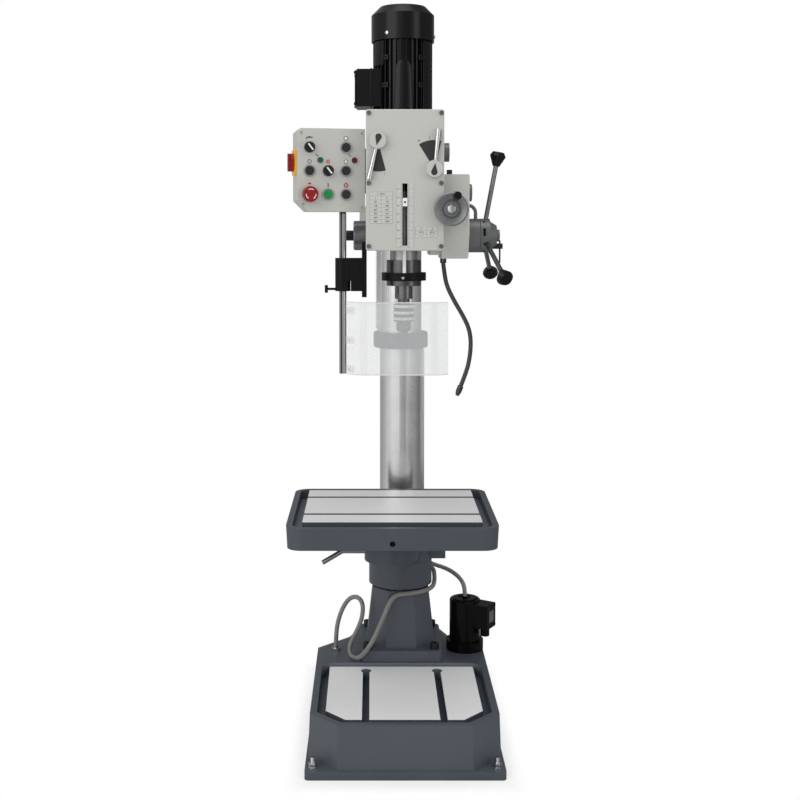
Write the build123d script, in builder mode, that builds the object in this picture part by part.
"""Geared drill press: floor base, round column, rack lifted table and gear head.

Frame: the column axis meets the floor at the origin, +X right, +Y to the rear,
+Z up.  Every length is in millimetres.
"""

import os
from math import acos, asin, atan2, cos, degrees, pi, radians, sin, sqrt, tan

from build123d import *

os.makedirs("parts", exist_ok=True)

# Clearances and tooth form
fit = 0.05
gap = 0.3
backlash = 0.6
pressure_angle = radians(20)
addendum = 0.8
dedendum = 1.05
flank_steps = 4

# Column, foot and collar
column_r = 57.5
column_wall = 14.0
column_top = 1590.0
foot_flange_w = 228.0
foot_flange_h = 31.0
foot_w = 189.0
foot_top_w = 155.0
foot_top = 315.0
foot_chamfer = 0.28
foot_bolt_pitch = 184.0
foot_bolt_r = 8.0
collar_r = 75.5
collar_low = 983.0
collar_high = 1027.0

# Base casting
base_h = 130.0
base_flange_w = 483.0
base_flange_h = 20.0
base_wall_w = 474.0
base_front = 531.0
base_back = 180.0
base_lip = 5.0
base_draft = 2.2
base_chamfer = 74.0
base_shoulder_y = 0.0
base_waist_w = 298.0
base_waist_y = 90.0
base_tail_w = 242.0
base_tail_y = 166.0
base_rim = 17.0
base_wall = 14.0
trough_floor = 98.0
trough_back = -119.0
plate_w = 389.0
plate_front = -473.0
plate_back = -123.0
plate_top = 121.0
plate_chamfer_x = 50.0
plate_chamfer_y = 54.0
base_slot_pitch = 191.0
base_slot_w = 18.0
base_slot_head_w = 30.0
base_slot_neck = 16.0
base_slot_head = 12.0
base_slot_end = -153.0
tank_floor = 12.0
tank_roof_front = 78.0
tank_roof_rear = 112.0
anchor_front_x = 222.0
anchor_front_y = -508.0
anchor_rear_x = 136.0
anchor_rear_y = 160.0
anchor_hole_r = 7.0
anchor_r = 6.0

# Coolant pump and drain fitting
pump_x = 182.0
pump_y = 0.0
pump_flange_r = 52.0
pump_flange_h = 26.0
pump_r = 43.0
pump_h = 142.0
pump_pipe_r = 19.0
pump_box_w = 40.0
pump_box_d = 52.0
pump_box_h = 66.0
pump_box_turn = -32.0
drain_x = -181.0
drain_y = -20.0
drain_r = 8.0
drain_h = 14.0

# Racks and their pinions
rack_module = 2.25
rack_w = 16.0
pinion_teeth = 16
pinion_w = 16.0
shaft_r = 8.0
journal_over = 0.6
square_end = 14.0
square_length = 26.0
table_rack_tip = 66.3
head_rack_seat = 56.0
head_rack_tip = 69.5
head_rack_top = 1560.0

# Lift collar, table arm and table
lift_low = 322.0
lift_high = 392.0
lift_r = 88.0
arm_r = 89.0
arm_top = 550.7
boss_r = 68.0
boss_low = 473.0
web_w = 124.0
web_low = 398.0
lift_pinion_z = 440.0
lift_box_front = -32.0
lift_box_back = 60.0
lift_box_half = 29.0
arm_box_half = 46.0
arm_box_over = 22.0
spindle_reach = 315.0
table_offset = 31.0
table_w = 510.0
table_d = 430.0
table_seat = 0.3
table_h = 54.0
table_plate_over = 5.0
table_draft = 3.0
table_corner = 38.0
table_wall = 15.0
table_trough = 23.0
table_plate_w = 433.0
table_plate_d = 348.0
table_slot_pitch = 184.0
table_slot_w = 14.0
table_slot_head_w = 24.0
table_slot_neck = 13.0
table_slot_head = 9.0
table_skirt = 18.0
table_skin = 16.0
table_stem_r = 30.0
table_stem_gap = 3.0
table_drain_r = 7.0
table_drain_under = 15.0
table_drain_l = 33.0
table_drain_drop_r = 4.0
lock_r = 6.0
lock_z = 497.0
lock_reach = 205.0
lock_drop = 30.0
lock_bend = 155.0
lock_ahead = 16.0

# Gear head casting, cover and clamp
head_bottom = 1262.0
head_top = 1598.0
case_w = 186.0
case_front = -404.0
case_back = -108.0
case_wall = 11.0
case_floor = 10.0
case_roof = 12.0
clamp_low = 1288.0
clamp_high = 1562.0
ear_half = 26.0
ear_back = 122.0
clamp_slit = 4.0
cover_w = 190.0
cover_low = 1259.0
cover_high = 1601.0
cover_t = 12.0
cover_screw_x = 88.0
cover_screw_zs = (1270.0, 1423.0, 1592.0)
cover_screw_r = 3.0
cover_screw_l = 18.0
screw_head_r = 5.5
screw_head_h = 5.0
clamp_bolt_r = 6.0
clamp_bolt_y = 104.0
clamp_bolt_zs = (1340.0, 1510.0)
clamp_head_r = 10.0
clamp_head_h = 8.0
slot_w = 12.0
slot_low = 1271.0
slot_high = 1422.0
head_pinion_z = 1345.0

# Motor
motor_y = -185.0
motor_r = 68.0
motor_fin_r = 77.0
motor_fin_t = 3.0
motor_fins = 34
motor_flange_r = 80.0
motor_flange_h = 12.0
motor_top = 1797.0
motor_bore_r = 50.0
motor_end = 25.0
motor_shaft_r = 12.0
motor_spigot_r = 26.0
fan_cover_r = 81.5
fan_cover_low = 1795.0
fan_cover_top = 1885.0
fan_cover_bevel = 22.0
fan_cover_wall = 2.5
fan_slot_at = 42.0
fan_slot_l = 26.0
fan_slot_w = 4.0
fan_slots = 24
motor_box_w = 46.0
motor_box_d = 96.0
motor_box_low = 1626.0
motor_box_high = 1722.0
motor_box_x = -119.5

# Gear train between the motor and the spindle
train_module = 2.5
motor_teeth = 18
idler_teeth = 30
idler_pinion_teeth = 18
drive_teeth = 44
gear_w = 22.0
upper_gear_low = 1532.0
lower_gear_low = 1492.0
idler_shaft_r = 9.0
sleeve_r = 22.0
sleeve_low = 1432.0
sleeve_high = 1572.0
shelf_low = 1450.0
shelf_t = 16.0

# Quill, spindle and chuck
quill_r = 35.0
quill_low = 1172.0
quill_high = 1405.0
guide_r = 44.0
guide_high = 1385.0
quill_flat = 34.0
feed_module = 2.0
feed_teeth = 14
quill_rack_low = 1255.0
spindle_r = 20.0
spline_r = 11.0
spline_tip = 13.0
spline_w = 5.0
spline_count = 6
spline_high = 1560.0
nose_r = 22.5
nose_low = 1137.0
arbor_r = 15.0
chuck_high = 1126.0
chuck_r = 26.0
chuck_skirt = 1078.0
chuck_nose_r = 18.0
chuck_low = 1055.0
jaw_tip = 1035.0
jaw_r = 10.0
jaw_split = 1.2
ring_low = 1170.0
ring_high = 1234.0
ring_r = 43.5
ring_flange_r = 56.0
ring_flange_low = 1183.0
ring_flange_high = 1203.0
rod_r = 4.5
rod_reach = 50.5
rod_high = 1398.0
pointer_low = 1367.0
pointer_h = 20.0

# Feed shaft, return spring, worm drive and capstan
feed_z = 1295.0
feed_r = 10.0
feed_pinion_w = 24.0
spring_case_r = 37.5
spring_case_end = -127.0
spring_case_wall = 4.0
spring_knob_r = 13.0
spring_knob_end = -145.0
spring_turns = 4
spring_t = 1.2
spring_w = 20.0
box_right = 160.0
box_front = -380.0
box_back = -205.0
box_high = 1446.0
box_front_low = 1300.0
box_low = 1238.0
box_slope_y = -345.0
box_wall = 8.0
box_foot_x = 64.0
box_foot_h = 15.0
box_round = 5.0
worm_x = 111.0
worm_module = 2.0
wheel_teeth = 45
wheel_w = 18.0
worm_r = 20.0
worm_half = 24.0
worm_play = 0.7
worm_relief = 1.0
worm_run_out = 4.0
worm_turns_back = 3.75
worm_end = -207.0
worm_shaft_r = 8.0
worm_boss_r = 14.0
worm_boss_l = 18.0
wheel_boss_r = 16.0
wheel_boss_l = 12.0
handwheel_r = 41.5
handwheel_t = 20.0
handwheel_clear = 9.0
handwheel_seat = 12.0
handwheel_hub_r = 30.0
handwheel_lip = 4.0
handwheel_dish = 8.0
crank_r = 34.0
crank_knob_r = 11.5
crank_knob_l = 34.0
crank_angle = 68.0
drum_r = 43.0
drum_end = 194.0
hub_shoulder = 219.0
hub_end = 237.0
hub_nut_end = 245.0
hub_cone_r = 37.0
hub_face_r = 26.0
hub_nut_r = 15.0
arm_rod_r = 6.0
arm_root_x = 206.0
arm_root_r = 20.0
arm_tip_x = 237.0
arm_tip_radius = 186.0
arm_count = 3
knob_r = 20.5
knob_l = 36.0
knob_grip = 10.0
knob_neck_r = 9.0
dial_bar_r = 7.0
dial_bar_z = 1268.0
dial_bar_end = 253.0
dial_rod_r = 2.2
dial_rod_low = 1225.0
dial_rod_high = 1283.0
selector_r = 22.0
selector_t = 11.0
selector_shaft_r = 7.0
selector_y = -300.0
selector_z = 1403.0
cap_r = 23.5
cap_t = 21.0
cap_z = 1504.0
cap_y = -300.0
plug_r = 7.0
plug_x = 113.0
plug_y = -330.0
plug_h = 13.0
conduit_r = 4.5
conduit_z = 1372.0
conduit_x = 184.0
conduit_bend = 20.0
conduit_seat = 6.0

# Gear levers on the cover
left_lever_x = -66.0
left_lever_z = 1526.0
left_lever_turn = 193.0
right_lever_x = 71.0
right_lever_z = 1457.0
right_lever_turn = 6.0
lever_hub_r = 22.0
lever_hub_t = 15.0
lever_shaft_r = 10.0
lever_l = 96.0
lever_thin_r = 3.6
lever_thick_r = 6.8

# Control box
panel_w = 168.0
panel_h = 203.0
panel_t = 3.0
panel_x = -179.0
panel_y = -387.5
panel_z = 1455.5
panel_turn = radians(12)
panel_top_cut = 9.0
panel_low_cut = 27.0
box_depth = 72.0
box_skin = 2.5
neck_h = 110.0
neck_front = 18.0
neck_back = 60.0
neck_l = 40.0
button_columns = (-54.3, -8.4, 36.0)
button_rows = (55.5, -1.5, -59.0)
lamp_places = ((-28.0, 24.5), (57.0, 24.5))
lamp_r = 7.0
lamp_proud = 4.0
button_r = 10.7
button_proud = 7.0
button_behind = 12.0
button_collar_r = 13.0
button_collar_t = 3.0
button_travel = 4.0
bezel_r = 14.5
bezel_t = 4.0
estop_r = 20.0
estop_proud = 24.0
estop_cap = 13.0
selector_knob_r = 13.0
selector_knob_t = 4.0
selector_grip_h = 13.0
selector_grip_w = 8.0
selector_rest = 38.0
switch_shaft_r = 8.0
isolator_w = 56.0
isolator_h = 62.0
isolator_t = 4.0
isolator_z = 1475.0
isolator_back = 36.0
isolator_hub_r = 19.0
isolator_hub_t = 6.0
isolator_grip_l = 44.0
isolator_grip_w = 13.0
isolator_grip_h = 8.0
isolator_shaft_r = 5.0

# Chuck guard
post_x = -152.5
post_y = -350.0
post_r = 9.0
post_low = 952.0
post_high = 1350.0
guard_ring_r = 19.0
guard_ring_low = 1158.0
guard_ring_high = 1183.0
guard_block_high = 1240.0
guard_block_half = 16.0
guard_web_gap = 1.0
guard_bar_t = 12.0
guard_bar_low = 1143.0
guard_bar_high = 1280.0
thumb_r = 3.0
thumb_l = 22.0
thumb_z = 1163.0
thumb_head_r = 4.0
thumb_head_l = 19.0
shield_t = 4.0
shield_low = 950.5
shield_high = 1132.0
shield_start = (-140.5, -361.3)
shield_bend_a = (-102.0, -383.0)
shield_bend_b = (74.0, -383.0)
shield_end = (108.0, -370.0)
shield_bend_r = 18.0
lug_zs = (964.0, 1036.0, 1110.0)
lug_h = 16.0
lug_t = 4.0
lug_lap = 16.0

# Hoses
hose_r = 6.2
goose_r = 6.0
goose_x = 100.0
goose_y = -300.0
goose_nut_r = 9.0
goose_nut_h = 12.0
nozzle_r = 4.0
nozzle_l = 26.0
spigot_r = 5.0
drain_spigot_z = 346.0
drain_mouth = (73.0, 79.0)
drain_mouth_turn = radians(137)
drain_spigot_l = 24.0
drain_boss_r = 9.0
drain_boss_over = 10.0
drain_last_run = 32.0
elbow_x = 48.0
elbow_y = 112.0
elbow_z = 1335.0
elbow_l = 26.0
elbow_seat = 68.0
elbow_bend = 14.0

# Derived places
spindle_y = -spindle_reach
table_swing = asin(table_offset / spindle_reach)
table_x = -table_offset
table_y = -spindle_reach * cos(table_swing)
table_low = arm_top + table_seat
table_rim = table_low + table_h
table_top = table_rim + table_plate_over
table_floor = table_rim - table_trough
table_stem_low = boss_low + table_stem_gap
table_drain_z = table_floor - table_drain_under
pinion_r = rack_module * pinion_teeth / 2
pinion_tip_r = pinion_r + addendum * rack_module
journal_r = pinion_tip_r + journal_over
lift_pinion_x = table_rack_tip - addendum * rack_module + pinion_r
head_pinion_x = -(head_rack_tip - addendum * rack_module + pinion_r)
feed_pinion_r = feed_module * feed_teeth / 2
feed_y = spindle_y + quill_flat - addendum * feed_module + feed_pinion_r
spring_inner_r = feed_r + gap + spring_t / 2
spring_room = spring_case_r - spring_case_wall - gap - spring_t / 2 - spring_inner_r
spring_pitch = spring_room / spring_turns
wheel_r = worm_module * wheel_teeth / 2
worm_z = feed_z + wheel_r + worm_r
cover_front = case_front - cover_t
case_half = case_w / 2
motor_low = head_top
upper_distance = train_module * (motor_teeth + idler_teeth) / 2
lower_distance = train_module * (idler_pinion_teeth + drive_teeth) / 2
train_span = motor_y - spindle_y
idler_ahead = (upper_distance**2 - lower_distance**2 + train_span**2) / (2 * train_span)
idler_x = sqrt(upper_distance**2 - idler_ahead**2)
idler_y = motor_y - idler_ahead
motor_mesh = degrees(atan2(idler_y - motor_y, idler_x))
idler_mesh = degrees(atan2(spindle_y - idler_y, -idler_x))
panel_right = Vector(cos(panel_turn), sin(panel_turn), 0)
panel_out = Vector(sin(panel_turn), -cos(panel_turn), 0)
panel_centre = Vector(panel_x, panel_y, panel_z)
panel = Plane(origin=panel_centre, x_dir=panel_right, z_dir=panel_out)
spindle_axis = Axis((0, spindle_y, 0), (0, 0, 1))
feed_axis = Axis((0, feed_y, feed_z), (1, 0, 0))
feed_plane = Plane(origin=(0, feed_y, feed_z), x_dir=(0, 1, 0), z_dir=(1, 0, 0))


def save(piece, name):
    """Label a finished piece and write it to its own file."""
    piece.part.label = name
    export_step(piece.part, f"parts/{name}.step")


def involute(angle):
    """Involute of an angle in radians."""
    return tan(angle) - angle


def gear_points(module, teeth, tooth_at, centre):
    """Corners of a spur gear about centre with one tooth centred at tooth_at degrees."""
    pitch_radius = module * teeth / 2
    base_radius = pitch_radius * cos(pressure_angle)
    tip_radius = pitch_radius + addendum * module
    root_radius = pitch_radius - dedendum * module
    start_radius = max(root_radius, base_radius)
    half_pitch = pi / (2 * teeth) - backlash / (4 * pitch_radius)

    def half_angle(radius):
        roll = acos(min(1.0, base_radius / radius))
        return half_pitch + involute(pressure_angle) - involute(roll)

    step = (tip_radius - start_radius) / flank_steps
    flank = [start_radius + step * i for i in range(flank_steps + 1)]
    side = [(radius, half_angle(radius)) for radius in flank]
    if root_radius < start_radius:
        side.insert(0, (root_radius, half_angle(start_radius)))
    corners = []
    for tooth in range(teeth):
        middle = radians(tooth_at) + 2 * pi * tooth / teeth
        corners += [(r, middle - a) for r, a in side]
        corners += [(r, middle + a) for r, a in reversed(side)]
    return [(centre[0] + r * cos(a), centre[1] + r * sin(a)) for r, a in corners]


def rack_teeth(module, low, high, gap_at):
    """Heights of the teeth of a rack that has a gap centred at gap_at."""
    pitch = pi * module
    first = int((low - gap_at) / pitch) - 1
    last = int((high - gap_at) / pitch) + 1
    centres = [gap_at + pitch * (n + 0.5) for n in range(first, last + 1)]
    return [z for z in centres if low + pitch / 2 <= z <= high - pitch / 2]


def rack_points(module, back, tip, low, high, gap_at):
    """Outline of a rack bar from its back line to its tooth tips."""
    half_pitch = pi * module / 4 - backlash / 4
    tip_half = half_pitch - addendum * module * tan(pressure_angle)
    root_half = half_pitch + dedendum * module * tan(pressure_angle)
    way = 1 if tip > back else -1
    root = tip - way * (addendum + dedendum) * module
    points = [(back, low), (root, low)]
    for z in rack_teeth(module, low, high, gap_at):
        points += [(root, z - root_half), (tip, z - tip_half)]
        points += [(tip, z + tip_half), (root, z + root_half)]
    return points + [(root, high), (back, high)]


def mirrored(points):
    """A closed outline from its right half, listed from the front to the back."""
    return points + [(-x, y) for x, y in reversed(points)]


def cord_radii(points):
    """Bend radii of a hose: 0.45 of the shorter run over the half turn's tangent."""
    radii = []
    for before, here, after in zip(points, points[1:], points[2:]):
        arriving = Vector(here) - Vector(before)
        leaving = Vector(after) - Vector(here)
        half_turn = radians(arriving.get_angle(leaving)) / 2
        shorter = min(arriving.length, leaving.length)
        radii.append(0.45 * shorter / tan(half_turn))
    return radii


def cord_path(points):
    """Draw a hose line: straight runs joined by tangent arcs."""
    ends = [Vector(point) for point in points]
    previous = ends[0]
    for before, here, after, radius in zip(ends, ends[1:], ends[2:], cord_radii(points)):
        arriving = (here - before).normalized()
        leaving = (after - here).normalized()
        half_turn = radians(arriving.get_angle(leaving)) / 2
        start = here - arriving * radius * tan(half_turn)
        end = here + leaving * radius * tan(half_turn)
        inward = (leaving - arriving).normalized()
        Line(previous, start)
        ThreePointArc(start, here + inward * (radius / cos(half_turn) - radius), end)
        previous = end
    Line(previous, ends[-1])


# Base casting: drafted box with a floor flange, coolant trough and machined plate
def base_outline(inset):
    """Wall outline of the base, moved inwards by inset."""
    half = base_wall_w / 2 - inset
    slant = inset * tan(radians(22.5))
    return mirrored(
        [
            (base_wall_w / 2 - base_chamfer - slant, -base_front + inset),
            (half, -base_front + base_chamfer + slant),
            (half, base_shoulder_y - slant),
            (base_waist_w / 2 - inset, base_waist_y - slant),
            (base_tail_w / 2 - inset, base_tail_y - inset),
            (base_tail_w / 2 - inset, base_back - inset),
        ]
    )


with BuildPart() as base_casting:
    with BuildSketch() as floor_flange:
        with BuildLine():
            Polyline(
                *mirrored(
                    [
                        (base_flange_w / 2, -base_front - base_lip),
                        (base_flange_w / 2, base_waist_y),
                        (anchor_rear_x + 18, base_back - 45),
                        (anchor_rear_x + 18, base_back + base_lip),
                    ]
                ),
                close=True,
            )
        make_face()
        fillet(floor_flange.vertices(), 10)
    extrude(amount=base_flange_h)
    with BuildSketch():
        with BuildLine():
            Polyline(*base_outline(0), close=True)
        make_face()
    extrude(amount=base_h, taper=base_draft)
    with BuildSketch(Plane.XY.offset(trough_floor)) as trough:
        inset = base_rim + base_h * tan(radians(base_draft))
        front_half = base_outline(inset)[:2]
        with BuildLine():
            Polyline(*mirrored(front_half + [(front_half[1][0], trough_back)]), close=True)
        make_face()
        fillet(trough.vertices().group_by(Axis.Y)[-1], 34)
        fillet(trough.vertices().group_by(Axis.Y)[0], 14)
    extrude(amount=base_h, mode=Mode.SUBTRACT)
    with BuildSketch(Plane.XY.offset(trough_floor)):
        with BuildLine():
            Polyline(
                *mirrored(
                    [
                        (plate_w / 2 - plate_chamfer_x, plate_front),
                        (plate_w / 2, plate_front + plate_chamfer_y),
                        (plate_w / 2, plate_back),
                    ]
                ),
                close=True,
            )
        make_face()
    extrude(amount=plate_top - trough_floor)
    for side in (-1, 1):
        slot_x = side * base_slot_pitch / 2
        slot_l = base_slot_end - plate_front
        with BuildSketch(Plane.XY.offset(plate_top)):
            with Locations((slot_x, plate_front + slot_l / 2)):
                Rectangle(base_slot_w, slot_l)
            with Locations((slot_x, base_slot_end)):
                Circle(base_slot_head_w / 2 - 1)
        extrude(amount=-base_slot_neck - base_slot_head, mode=Mode.SUBTRACT)
        with BuildSketch(Plane.XY.offset(plate_top - base_slot_neck)):
            with Locations((slot_x, plate_front + slot_l / 2)):
                Rectangle(base_slot_head_w, slot_l)
        extrude(amount=-base_slot_head, mode=Mode.SUBTRACT)
    with BuildSketch(Plane.XY.offset(tank_floor)):
        with BuildLine():
            Polyline(*base_outline(base_wall + base_h * tan(radians(base_draft))), close=True)
        make_face()
    extrude(amount=tank_roof_front - tank_floor, mode=Mode.SUBTRACT)
    with BuildSketch(Plane.XY.offset(tank_roof_front)):
        with BuildLine():
            tank = base_outline(base_wall + base_h * tan(radians(base_draft)))
            Polyline(*tank, close=True)
        make_face()
        with Locations((0, trough_back + base_wall - base_front)):
            Rectangle(base_flange_w, 2 * base_front, mode=Mode.SUBTRACT)
    extrude(amount=tank_roof_rear - tank_roof_front, mode=Mode.SUBTRACT)
    with Locations((pump_x, pump_y, base_h)):
        Hole(pump_pipe_r + 1, depth=base_h - tank_roof_rear)
    with Locations((drain_x, drain_y, base_h)):
        Hole(drain_r, depth=base_h - tank_roof_rear)
    with Locations(Plane.XY.offset(base_h)):
        with GridLocations(foot_bolt_pitch, foot_bolt_pitch, 2, 2):
            Hole(foot_bolt_r, depth=base_h - tank_roof_rear)
    with Locations(
        (anchor_front_x, anchor_front_y, base_flange_h),
        (-anchor_front_x, anchor_front_y, base_flange_h),
        (anchor_rear_x, anchor_rear_y, base_flange_h),
        (-anchor_rear_x, anchor_rear_y, base_flange_h),
    ):
        Hole(anchor_hole_r, depth=base_flange_h)
save(base_casting, "base_casting")

# Column foot: square flange, eight sided tapering tower
with BuildPart() as column_foot:
    with BuildSketch(Plane.XY.offset(base_h)):
        RectangleRounded(foot_flange_w, foot_flange_w, 18)
    extrude(amount=foot_flange_h)
    for height, width in ((base_h + foot_flange_h, foot_w), (foot_top, foot_top_w)):
        with BuildSketch(Plane.XY.offset(height)) as tower:
            Rectangle(width, width)
            chamfer(tower.vertices(), width * foot_chamfer)
    loft()
    with Locations((0, 0, foot_top)):
        Hole(column_r + fit, depth=foot_top - base_h)
    with Locations(Plane.XY.offset(base_h + foot_flange_h)):
        with GridLocations(foot_bolt_pitch, foot_bolt_pitch, 2, 2):
            Hole(foot_bolt_r, depth=foot_flange_h)
save(column_foot, "column_foot")

# Foot cap screws, front levelling bolts and the drain fitting, each a separate solid
with BuildPart() as base_fittings:
    screw_seat = base_h + foot_flange_h
    with BuildSketch(Plane.XY.offset(screw_seat)):
        with GridLocations(foot_bolt_pitch, foot_bolt_pitch, 2, 2):
            Circle(foot_bolt_r * 1.5)
    extrude(amount=foot_bolt_r * 2)
    with BuildSketch(Plane.XY.offset(screw_seat + foot_bolt_r)):
        with GridLocations(foot_bolt_pitch, foot_bolt_pitch, 2, 2):
            RegularPolygon(foot_bolt_r * 0.8, 6)
    extrude(amount=foot_bolt_r, mode=Mode.SUBTRACT)
    with BuildSketch(Plane.XY.offset(screw_seat)):
        with GridLocations(foot_bolt_pitch, foot_bolt_pitch, 2, 2):
            Circle(foot_bolt_r - fit)
    extrude(amount=tank_roof_rear - screw_seat)
    for side in (-1, 1):
        with BuildSketch(Plane.XY.offset(1)):
            with Locations((side * anchor_front_x, anchor_front_y)):
                Circle(anchor_r)
        extrude(amount=base_flange_h + 24)
        with BuildSketch(Plane.XY.offset(base_flange_h)):
            with Locations((side * anchor_front_x, anchor_front_y)):
                Circle(anchor_r * 2)
        extrude(amount=2.5)
        with BuildSketch(Plane.XY.offset(base_flange_h + 2.5)):
            with Locations((side * anchor_front_x, anchor_front_y)):
                RegularPolygon(anchor_r * 1.75, 6)
        extrude(amount=anchor_r * 1.7)
    with BuildSketch(Plane.XY.offset(base_h)):
        with Locations((drain_x, drain_y)):
            RegularPolygon(drain_r + 5, 6)
    extrude(amount=drain_h / 2)
    with BuildSketch(Plane.XY.offset(tank_roof_rear)):
        with Locations((drain_x, drain_y)):
            Circle(drain_r - fit)
            Circle(drain_r - 3, mode=Mode.SUBTRACT)
    extrude(amount=base_h - tank_roof_rear + drain_h)
save(base_fittings, "base_fittings")

# Column tube with a flat for the head rack
with BuildPart() as column:
    with BuildSketch(Plane.XY.offset(base_h)):
        Circle(column_r)
        Circle(column_r - column_wall, mode=Mode.SUBTRACT)
    extrude(amount=column_top - base_h)
    with BuildSketch(Plane.XY.offset(collar_high)):
        with Locations((-head_rack_seat - column_r, 0)):
            Rectangle(2 * column_r, 2 * column_r)
    extrude(amount=column_top - collar_high, mode=Mode.SUBTRACT)
save(column, "column")

with BuildPart() as head_rack:
    with BuildSketch(Plane.XZ):
        with BuildLine():
            Polyline(
                *rack_points(
                    rack_module,
                    -head_rack_seat,
                    -head_rack_tip,
                    collar_high,
                    head_rack_top,
                    head_pinion_z,
                ),
                close=True,
            )
        make_face()
    extrude(amount=rack_w / 2, both=True)
save(head_rack, "head_rack")

with BuildPart() as table_rack:
    with BuildSketch(Plane.XZ):
        with BuildLine():
            Polyline(
                *rack_points(
                    rack_module,
                    column_r - 1,
                    table_rack_tip,
                    foot_top + gap,
                    collar_low - gap,
                    lift_pinion_z,
                ),
                close=True,
            )
        make_face()
    extrude(amount=rack_w / 2, both=True)
    with BuildSketch(Plane.XY.offset(foot_top)):
        Circle(column_r + gap)
    extrude(amount=collar_low - foot_top, mode=Mode.SUBTRACT)
save(table_rack, "table_rack")

with BuildPart() as column_collar:
    with BuildSketch(Plane.XY.offset(collar_low)):
        Circle(collar_r)
    extrude(amount=collar_high - collar_low)
    fillet(column_collar.edges(), 6)
    with Locations((0, 0, collar_high)):
        Hole(column_r + fit, depth=collar_high - collar_low)
save(column_collar, "column_collar")

# Coolant pump: ring flange, body, turned terminal box with gland, suction pipe in the tank
pump_box_plane = Plane(
    origin=(pump_x, pump_y, 0),
    x_dir=(cos(radians(pump_box_turn)), sin(radians(pump_box_turn)), 0),
    z_dir=(0, 0, 1),
)
pump_box_high = base_h + pump_h - 5
pump_box_low = pump_box_high - pump_box_h
with BuildPart() as coolant_pump:
    with BuildSketch(Plane.XY.offset(base_h)):
        with Locations((pump_x, pump_y)):
            Circle(pump_flange_r)
    extrude(amount=pump_flange_h)
    with BuildSketch(Plane.XY.offset(base_h)):
        with Locations((pump_x, pump_y)):
            Circle(pump_r)
    extrude(amount=pump_h)
    chamfer(coolant_pump.faces().sort_by(Axis.Z)[-1].edges(), 3)
    with BuildSketch(Plane.XY.offset(base_h)):
        with Locations((pump_x, pump_y)):
            Circle(pump_pipe_r)
            Circle(pump_pipe_r - 3, mode=Mode.SUBTRACT)
    extrude(amount=tank_floor + 20 - base_h)
    with BuildSketch(pump_box_plane.offset(pump_box_low)):
        with Locations(((pump_r + pump_box_w) / 2, 0)):
            Rectangle(pump_box_w + pump_r, pump_box_d)
        with Locations((0, 0)):
            Circle(pump_r - 1, mode=Mode.SUBTRACT)
    extrude(amount=pump_box_h)
    with BuildSketch(pump_box_plane.offset(pump_box_low - 24)):
        with Locations((pump_r + pump_box_w / 2, 0)):
            Circle(13)
    extrude(amount=24)
    with BuildSketch(Plane.XY.offset(base_h + pump_h - 3)):
        with Locations((pump_x, pump_y)):
            Circle(spigot_r + 3)
    extrude(amount=9)
save(coolant_pump, "coolant_pump")

# Lift collar: ring that carries the table arm and the drain hose's spigot
spigot_way = Vector(cos(drain_mouth_turn), sin(drain_mouth_turn), 0)
spigot_mouth = Vector(drain_mouth[0], drain_mouth[1], drain_spigot_z)
spigot_end = spigot_mouth + spigot_way * drain_spigot_l
boss_way = Vector(spigot_end.X, spigot_end.Y, 0).normalized()
boss_reach = Vector(spigot_end.X, spigot_end.Y, 0).length + drain_boss_over - lift_r + 2
boss_root = boss_way * (lift_r - 2) + Vector(0, 0, drain_spigot_z)
with BuildPart() as lift_collar:
    with BuildSketch(Plane.XY.offset(lift_low)):
        Circle(lift_r)
        Circle(table_rack_tip + 2, mode=Mode.SUBTRACT)
    extrude(amount=lift_high - lift_low)
    with BuildSketch(Plane(origin=boss_root, z_dir=boss_way)):
        Circle(drain_boss_r)
    extrude(amount=boss_reach)
    with BuildSketch(Plane(origin=spigot_mouth, z_dir=spigot_way)):
        Circle(spigot_r)
    extrude(amount=drain_spigot_l)
save(lift_collar, "lift_collar")

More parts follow.
